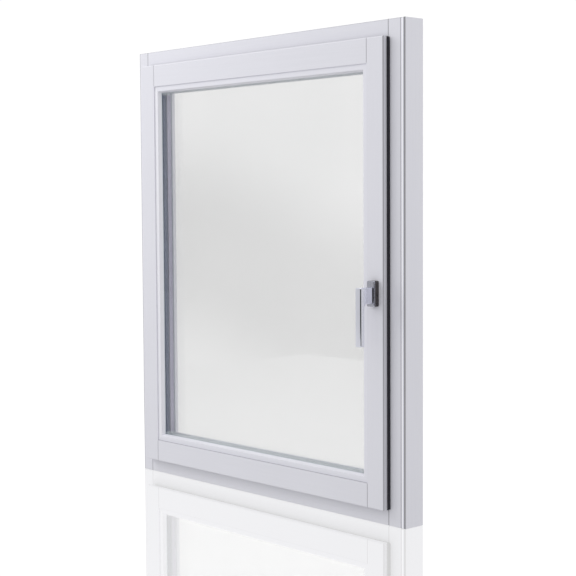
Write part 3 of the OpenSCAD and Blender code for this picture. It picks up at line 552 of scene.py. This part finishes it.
def makePiece(name, shell, materials, body, nodes=(), crease=34):
    # one mesh from the shells, with doubles merged and faces pointing outwards
    mesh = bpy.data.meshes.new(name)
    mesh.from_pydata(np.concatenate(shell.points).tolist(), [], shell.faces)
    for material in materials:
        mesh.materials.append(material)
    mesh.polygons.foreach_set("material_index", shell.marks)
    work = bmesh.new()
    work.from_mesh(mesh)
    bmesh.ops.remove_doubles(work, verts=work.verts, dist=1e-6)
    bmesh.ops.dissolve_degenerate(work, edges=work.edges, dist=1e-7)
    bmesh.ops.recalc_face_normals(work, faces=work.faces)
    work.to_mesh(mesh)
    work.free()
    mesh.shade_smooth()
    mesh.set_sharp_from_angle(angle=math.radians(crease))
    made = bpy.data.objects.new(name, mesh)
    scene.collection.objects.link(made)
    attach(made, body)
    if nodes:
        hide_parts(*nodes)
    return made


def closeUp(points):
    # outline points in metres from millimetres
    return np.asarray(points, float) * mm


leverLook = {"gripDepth": 14.0, "neckDown": 24.0, "fillet": 9.0, "corner": 2.8, "arris": 2.6,
             "neckEnd": 0.2, "hubRadius": 8.5, "hubEase": 0.5,
             "collarInset": 0.7, "collarGap": 0.3, "collarCorner": 2.0}
rose = [np.array(corner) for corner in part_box("rose_cover")]


def makeLever(look):
    # an L seen from the side: grip in front, neck behind its top, with a fillet under the neck
    low, high = [np.array(corner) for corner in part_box("lever")]
    axisZ = (rose[0][2] + rose[1][2]) / 2
    front, top, foot = low[1], high[2], low[2]
    gripBack = front + look["gripDepth"] * mm
    under = axisZ - look["neckDown"] * mm
    neckEnd = rose[0][1] - (1 + look["neckEnd"]) * mm
    corner, fillet = look["corner"] * mm, look["fillet"] * mm
    outline = np.concatenate((
        arcPoints((front + corner, foot + corner), corner, 180, 270, 6),
        arcPoints((gripBack - corner, foot + corner), corner, 270, 360, 6),
        arcPoints((gripBack + fillet, under - fillet), fillet, 180, 90, 8),
        arcPoints((neckEnd - corner, under + corner), corner, 270, 360, 6),
        arcPoints((neckEnd - corner, top - corner), corner, 0, 90, 6),
        arcPoints((front + corner, top - corner), corner, 90, 180, 6)))
    shell = slab(Shell(), "X", outline, low[0], high[0], look["arris"] * mm, look["arris"] * mm)
    axisX = (low[0] + high[0]) / 2
    hub = look["hubRadius"] * mm
    back = high[1]
    ease = look["hubEase"] * mm
    profile = np.array([(0, neckEnd), (hub, neckEnd), (hub, back - ease), (hub - ease, back), (0, back)])
    turned(shell, "Y", (axisX, 0, axisZ), profile)
    makePiece("leverBody", shell, [handleMetal], "handle", ["lever"])


def makeCollar(look):
    # dark ring between neck and rose, with the neck's own outline a little smaller all round
    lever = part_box("lever")
    axisZ = (rose[0][2] + rose[1][2]) / 2
    inset = look["collarInset"] * mm
    low = (lever[0][0] + inset, axisZ - look["neckDown"] * mm + inset)
    high = (lever[1][0] - inset, lever[1][2] - inset)
    back = rose[0][1] - look["collarGap"] * mm
    front = rose[0][1] - (1 + look["neckEnd"]) * mm
    outline = softBox(low, high, look["collarCorner"] * mm)
    shell = slab(Shell(), "Y", outline, front, back, 0.1 * mm, 0.2 * mm)
    makePiece("neckCollar", shell, [darkPlastic], "handle", ["handle_washer"])


roseShape = {"corner": 3.4, "arris": 2.0, "capDepth": 3.4}


def makeRose(look):
    # a metal cap with rounded arrises over a dark side, both on the same rounded outline
    low, high = rose
    corner = look["corner"] * mm
    split = low[1] + look["capDepth"] * mm
    outline = softBox((low[0], low[2]), (high[0], high[2]), corner, 8)
    shell = slab(Shell(), "Y", outline, low[1], split, look["arris"] * mm, 0.12 * mm)
    inner = softBox((low[0] + 0.15 * mm, low[2] + 0.15 * mm), (high[0] - 0.15 * mm, high[2] - 0.15 * mm),
                    corner, 8)
    slab(shell, "Y", inner, split, high[1], 0.05 * mm, 0.1 * mm, 1)
    makePiece("roseCap", shell, [roseMetal, roseSide], "sash", ["rose_cover"])


beadShape = {"recess": 3.0, "flat": 14.4, "slope": 4.5, "back": 14.0, "arris": 1.0, "inner": 0.5}


def roundedPath(corners, radii, count=4):
    # a closed outline whose corners are rounded: each arc starts and ends r tan(half turn) away
    # from its corner and follows the quadratic curve through it
    corners = np.asarray(corners, float)
    before = np.roll(corners, 1, 0) - corners
    after = np.roll(corners, -1, 0) - corners
    before /= np.linalg.norm(before, axis=1, keepdims=True)
    after /= np.linalg.norm(after, axis=1, keepdims=True)
    reach = np.asarray(radii, float)[:, None]
    start = corners + before * reach
    end = corners + after * reach
    t = np.linspace(0, 1, count + 1)[:, None, None]
    curve = (1 - t) ** 2 * start + 2 * t * (1 - t) * corners + t ** 2 * end
    return curve.transpose(1, 0, 2).reshape(-1, 2)


def makeBeads(look):
    # each bead: a flat face behind the sash face, a rounded nose, and a slope back to the glass
    box = [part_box("bead_left")[0][0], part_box("bead_bottom")[0][2],
           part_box("bead_right")[1][0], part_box("bead_top")[1][2]]
    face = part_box("bead_left")[0][1]
    depth = (look["back"] - look["recess"]) * mm
    flat, nose = look["flat"] * mm, (look["flat"] + look["slope"]) * mm
    corners = [(0, face), (flat, face), (nose, face + depth), (0, face + depth)]
    profile = roundedPath(corners, closeUp([look["inner"], look["arris"], 0.5, 0.3]))
    finishOf = {"left": beadLit, "right": beadUpright, "bottom": beadLevel, "top": beadLevel}
    for side, finish in finishOf.items():
        shell = stick(Shell(), box, side, profile)
        makePiece("bead." + side, shell, [finish], "sash", ["bead_" + side])


gasketShape = {"arris": 2.6, "corner": 5.0, "small": 2.9, "upright": 18.2, "bar": 13.4, "end": 18.4}


def makeGaskets(look):
    # sash gasket: soft tubes under the lip; the one on the lock side stands out with round ends
    low, high = [np.array(corner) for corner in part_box("sash_gasket")]
    inner = high[0] - look["upright"] * mm
    small, large = look["small"] * mm, look["corner"] * mm
    upright = softBox((inner, low[2]), (high[0], high[2]), (small, large, large, small))
    shell = slab(Shell(), "Y", upright, low[1], high[1], 0.4 * mm, 0.8 * mm)
    end, bar = look["end"] * mm, look["bar"] * mm
    left = softBox((low[0] + 0.2 * mm, low[2] + end), (low[0] + 9 * mm, high[2] - end), small)
    slab(shell, "Y", left, low[1], high[1], 0.3 * mm, look["arris"] * mm)
    for foot in (low[2], high[2] - bar):
        level = softBox((low[0] + 13 * mm, foot), (inner - 0.1 * mm, foot + bar), small)
        slab(shell, "Y", level, low[1], high[1], 0.3 * mm, look["arris"] * mm)
    makePiece("sashGasket", shell, [blackRubber], "sash", ["sash_gasket"])
    low, high = [np.array(corner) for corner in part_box("frame_gasket")]
    box = [low[0], low[2], high[0], high[2]]
    base, tip = high[1], low[1]
    lips = [(0, base), (7, base), (7, base - 1.6 * mm), (5.4, tip + 1.2 * mm), (4.2, tip),
            (3.6, tip + 1.4 * mm), (2.6, tip + 1.4 * mm), (1.4, tip), (0.4, tip + 1.4 * mm),
            (0, base - 1.6 * mm)]
    corners = np.array([(inward * mm, depth) for inward, depth in lips])
    profile = roundedPath(corners, np.full(len(lips), 0.35 * mm), 3)
    makePiece("frameGasket", ring(Shell(), box, profile, 2 * mm), [blackRubber], "frame", ["frame_gasket"])


unitShape = {"seam": 0.5, "paneCorner": 1.0, "spacerCorner": 3.0, "spacerIn": 8.4}


def makeUnit(look):
    # panes with seamed edges, and spacer bars with a shallow trough in the face that is seen
    for node in ("pane_inner", "pane_middle", "pane_outer"):
        low, high = [np.array(corner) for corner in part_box(node)]
        outline = softBox((low[0], low[2]), (high[0], high[2]), look["paneCorner"] * mm, 3)
        shell = slab(Shell(), "Y", outline, low[1] + 0.01 * mm, high[1] - 0.01 * mm, look["seam"] * mm,
                     look["seam"] * mm, steps=2)
        makePiece("glass." + node[5:], shell, [glazing], "sash", [node])
    for node, finish in (("spacer_inner", spacerMetal), ("spacer_outer", spacerPale)):
        low, high = [np.array(corner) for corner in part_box(node)]
        box = [low[0], low[2], high[0], high[2]]
        wide = look["spacerIn"]
        front, back = low[1] / mm + 0.02, high[1] / mm - 0.02
        corners = [(0, front + 2.5), (2.5, front), (wide, front), (wide, front + 3.4),
                   (wide - 0.5, front + 4.0), (wide - 0.5, back - 4.0), (wide, back - 3.4), (wide, back),
                   (2.5, back), (0, back - 2.5)]
        profile = roundedPath(closeUp(corners), np.full(len(corners), 0.25 * mm), 2)
        makePiece("spacer." + node[7:], ring(Shell(), box, profile, look["spacerCorner"] * mm), [finish],
                  "sash", [node])


sealShape = {"bulge": 0.4}


def makeSeals(look):
    # glazing seals: a ring whose face towards the opening is tooled to a shallow curve
    for node in ("glazing_seal_inner", "glazing_seal_outer"):
        low, high = [np.array(corner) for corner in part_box(node)]
        box = [low[0], low[2], high[0], high[2]]
        wide = 12.4 * mm
        turn = np.linspace(0, np.pi, 9)
        depth = (low[1] + high[1]) / 2 - (high[1] - low[1]) / 2 * np.cos(turn)
        nose = np.stack((wide + look["bulge"] * mm * np.sin(turn), depth), -1)
        profile = np.concatenate((nose, [(0, high[1]), (0, low[1])]))
        makePiece("seal." + node[13:], ring(Shell(), box, profile, 1 * mm), [sealant], "sash", [node])


screwShape = {
    "recess": 0.50, "recessDepth": 1.5, "star": 0.13,
    "small": (3.0, 1.5, 22.0), "long": (3.4, 1.7, 28.0),      # head radius, shank radius, length
    "strikerRows": (208, 267, 698, 757, 968, 1027), "faceplateRows": (519.5, 639.5),
}


def screwAt(shell, axis, centre, sign, size, look):
    # a countersunk screw with a star recess: head, cone, shank and point spun in one profile
    head, shank, length = size
    inner = head * look["recess"]
    profile = np.array([(0, look["recessDepth"]), (inner * 0.9, look["recessDepth"]), (inner, 0.12),
                        (inner * 1.12, 0), (head - 0.25, 0), (head, 0.25), (shank, head - shank + 0.25),
                        (shank, length - 3), (0.2, length - 0.05), (0, length)]) * mm
    profile[:, 1] *= sign
    star = np.array([0, 1, 1, 0.6, 0, 0, 0, 0, 0, 0]) * look["star"]
    turned(shell, axis, centre, profile, 36, star)


def makeScrews(look):
    # all the screws whose heads can be seen; each node's own box gives its row
    small, long = look["small"], look["long"]
    low, high = [np.array(corner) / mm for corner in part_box("hinge_frame_screws")]
    shell = Shell()
    for z in (low[2] + 3.4, low[2] + 28.4, low[2] + 53.4, high[2] - 3.4, high[2] - 28.4, high[2] - 53.4):
        screwAt(shell, "X", np.array((high[0], (low[1] + high[1]) / 2, z)) * mm, -1, long, look)
    makePiece("screws.hingeFrame", shell, [zinc], "frame", ["hinge_frame_screws"], 28)
    low, high = [np.array(corner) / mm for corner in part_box("hinge_sash_screws")]
    shell = Shell()
    for z, sign in ((low[2], 1), (high[2], -1)):
        for x in (low[0] + 3, low[0] + 19, low[0] + 35):
            screwAt(shell, "Z", np.array((x, (low[1] + high[1]) / 2, z)) * mm, sign, small, look)
    makePiece("screws.hingeSash", shell, [zinc], "sash", ["hinge_sash_screws"], 28)
    low, high = [np.array(corner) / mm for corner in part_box("striker_screws")]
    shell = Shell()
    for z in look["strikerRows"]:
        screwAt(shell, "X", np.array((low[0], (low[1] + high[1]) / 2, z)) * mm, 1, small, look)
    makePiece("screws.striker", shell, [zinc], "frame", ["striker_screws"], 28)
    low, high = [np.array(corner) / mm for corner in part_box("faceplate_screws")]
    shell = Shell()
    for z in (low[2] + 3, *look["faceplateRows"], high[2] - 3):
        screwAt(shell, "X", np.array((high[0], (low[1] + high[1]) / 2, z)) * mm, -1, small, look)
    makePiece("screws.faceplate", shell, [zinc], "sash", ["faceplate_screws"], 28)


camShape = {"heights": (230.0, 720.0, 990.0), "stem": 2.5, "head": 4.5, "neck": 3.35}


def makeCams(look):
    # mushroom cams: stem, undercut head with a rounded rim and a star recess in its top
    low, high = [np.array(corner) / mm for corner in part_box("locking_cams")]
    shell = Shell()
    start, end, head = low[0], high[0], look["head"]
    stem, neck = look["stem"], look["neck"]
    profile = np.array([(0, start), (stem, start), (stem, end - 4.1), (neck, end - 3.6),
                        (head - 0.2, end - 3.0), (head, end - 2.6), (head, end - 0.9),
                        (head - 0.3, end - 0.3), (head - 0.9, end), (2.1, end), (1.9, end - 0.2),
                        (1.8, end - 2.2), (0, end - 2.2)]) * mm
    star = np.zeros(len(profile))
    star[9:12] = 0.12
    for z in look["heights"]:
        turned(shell, "X", (0, (low[1] + high[1]) / 2 * mm, z * mm), profile, 36, star)
    makePiece("cams", shell, [zinc], "lock_rod", ["locking_cams"], 28)


strikerShape = {"feet": (200, 690, 960), "tall": 75, "corner": 3.0, "plate": 3.0, "catchLow": 35.5,
                "catchTall": 24.0, "catchWide": 15.3, "catchCorner": 1.6}


def makeStrikers(look):
    # each striker: a rounded plate with a catch whose lead-in corner is eased
    low, high = [np.array(corner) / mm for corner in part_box("strikers")]
    shell = Shell()
    for foot in look["feet"]:
        plate = softBox(closeUp((low[1], foot)), closeUp((high[1], foot + look["tall"])),
                        look["corner"] * mm)
        slab(shell, "X", plate, (high[0] - look["plate"]) * mm, high[0] * mm, 0.5 * mm, 0)
        catchLow = foot + look["catchLow"]
        catch = softBox(closeUp((low[1], catchLow)),
                        closeUp((low[1] + look["catchWide"], catchLow + look["catchTall"])),
                        look["catchCorner"] * mm)
        slab(shell, "X", catch, low[0] * mm, (high[0] - look["plate"] + 0.1) * mm, 0.7 * mm, 0)
    makePiece("strikerPlates", shell, [zinc], "frame", ["strikers"], 28)


makeLever(leverLook)
makeCollar(leverLook)
makeRose(roseShape)
print("handle made")
makeBeads(beadShape)
makeGaskets(gasketShape)
makeUnit(unitShape)
makeSeals(sealShape)
print("sash pieces made")
makeScrews(screwShape)
makeCams(camShape)
makeStrikers(strikerShape)
print("fittings made")

softenLook = {"width": 0.5, "steps": 2}
for node in ("jamb_left", "jamb_right", "head", "sill", "side_strip", "stile_left", "stile_right",
             "rail_top", "rail_bottom"):
    soften(node, softenLook)
print("timber arrises softened")


stageLook = {
    "floorSize": 2.5, "floorGlow": 1.03, "floorMirror": 0.40, "floorSpread": 0.62, "floorGlossy": 0.70,
    "frontFade": (-2.4, -0.4, 0.74, 1.0), "mirrorFade": (1.2, 1.9),
}


def makeFloor(look):
    # a pale floor that mirrors faintly near the window; it lights other rays by its own values
    half = look["floorSize"]
    mesh = bpy.data.meshes.new("floor")
    mesh.from_pydata([(-half, -half, 0), (half, -half, 0), (half, half, 0), (-half, half, 0)], [],
                     [(0, 1, 2, 3)])
    made = bpy.data.objects.new("floor", mesh)
    made.location.z = -0.0005
    scene.collection.objects.link(made)
    material, wire = newMaterial("floorWhite")
    seen = wire.node("ShaderNodeLightPath", output="Is Camera Ray")
    through = wire.node("ShaderNodeLightPath", output="Is Transmission Ray")
    spread = wire.node("ShaderNodeLightPath", output="Is Diffuse Ray")
    place = wire.node("ShaderNodeTexCoord", output="Object")
    front = wire.node("ShaderNodeSeparateXYZ", None, {0: place}, "Y").smooth(*look["frontFade"])
    other = spread * look["floorSpread"] + (1 - spread) * look["floorGlossy"]
    behind = through * (look["floorGlow"] * front) + (1 - through) * other
    strength = seen * look["floorGlow"] + (1 - seen) * behind
    glow = wire.node("ShaderNodeEmission", None, {"Color": (1, 1, 1, 1), "Strength": strength})
    mirror = wire.node("ShaderNodeBsdfGlossy", None, {"Color": (1, 1, 1, 1), "Roughness": 0.03})
    away = wire.node("ShaderNodeVectorMath", {"operation": "LENGTH"}, {0: place}, "Value")
    share = seen * away.smooth(*look["mirrorFade"], look["floorMirror"], 0.0)
    wire.show(wire.node("ShaderNodeMixShader", None, {0: share, 1: glow, 2: mirror}))
    mesh.materials.append(material)


worldLook = {
    "spreadBright": 0.775, "spreadDark": 0.70, "mirrorBright": 1.15, "mirrorDark": 0.03,
    "darkTop": 0.12, "leftLoss": 0.46, "rightLoss": 0.40,
    "darkTowards": (0.74, -0.67, 0.0), "mirrorFrom": (-0.742, -0.670, 0.0), "across": (0.670, -0.742, 0.0),
    "band": 0.36, "bandLow": 0.062, "bandSlope": 0.46, "bandEdges": (0.018, 0.105), "glow": 1.03,
    "leftEdges": (0.35, 0.95), "rightEdges": (-0.95, -0.6), "darkEdges": (0.14, 0.5),
}


def makeWorld(look):
    # a white studio, by direction: mirrors see the room side darker, and light that comes through the
    # glass meets a low dark band to the left; diffuse light hardly changes
    world = bpy.data.worlds.new("studio")
    world.use_nodes = True
    world.node_tree.nodes.clear()
    wire = Wire(world.node_tree)
    direction = wire.node("ShaderNodeTexCoord", output="Generated")
    towards = wire.node("ShaderNodeVectorMath", {"operation": "DOT_PRODUCT"},
                        {0: direction, 1: look["darkTowards"]}, "Value")
    left = wire.node("ShaderNodeVectorMath", {"operation": "DOT_PRODUCT"},
                     {0: direction, 1: look["mirrorFrom"]}, "Value")
    rise = wire.node("ShaderNodeSeparateXYZ", None, {0: direction}, "Z")
    across = wire.node("ShaderNodeVectorMath", {"operation": "DOT_PRODUCT"},
                       {0: direction, 1: look["across"]}, "Value")
    spreadLight = towards.smooth(0.2, 0.95, look["spreadBright"], look["spreadDark"])
    low = rise.smooth(look["darkTop"], look["darkTop"] + 0.1, 1.0, 0.0)
    loss = look["mirrorBright"] - look["mirrorDark"]
    mirrorLight = look["mirrorBright"] - towards.smooth(*look["darkEdges"]) * low * loss
    mirrorLight = mirrorLight * (1 - left.smooth(*look["leftEdges"]) * look["leftLoss"])
    mirrorLight = mirrorLight * (1 - left.smooth(*look["rightEdges"], look["rightLoss"], 0.0))
    height = wire.math("ABSOLUTE", rise + across * look["bandSlope"] + look["bandLow"])
    band = height.smooth(*look["bandEdges"], 1.0, 0.0) * left.smooth(0.85, 0.95)
    seen = wire.node("ShaderNodeLightPath", output="Is Camera Ray")
    through = wire.node("ShaderNodeLightPath", output="Is Transmission Ray")
    glossy = wire.node("ShaderNodeLightPath", output="Is Glossy Ray")
    other = glossy * mirrorLight + (1 - glossy) * spreadLight
    behind = through * (look["glow"] - band * (look["glow"] - look["band"])) + (1 - through) * other
    strength = seen * look["glow"] + (1 - seen) * behind
    light = wire.node("ShaderNodeBackground", None, {"Color": (1, 1, 1, 1), "Strength": strength})
    wire.show(light, "ShaderNodeOutputWorld")
    scene.world = world


lamps = {      # place, target, size in metres and power in watts
    "keyLeft": ((-2.3, -1.4, 2.3), (-0.5, 0.0, 1.0), 1.6, 31),
    "fillRight": ((2.8, 1.9, 1.3), (0.5, 0.0, 0.6), 1.6, 7),
    "topFront": ((0.0, -1.1, 3.3), (0.0, 0.0, 1.2), 1.5, 5),
}


def makeLight(name, place, target, size, power):
    # a soft square lamp that is seen neither directly nor in mirrors
    data = bpy.data.lights.new(name, "AREA")
    data.size = size
    data.energy = power
    made = bpy.data.objects.new(name, data)
    made.location = place
    made.rotation_euler = (Vector(target) - Vector(place)).to_track_quat("-Z", "Y").to_euler()
    made.visible_glossy = False
    made.visible_transmission = False
    made.visible_camera = False
    scene.collection.objects.link(made)


makeFloor(stageLook)
makeWorld(worldLook)
for name, lamp in lamps.items():
    makeLight(name, *lamp)
print("floor and light made")
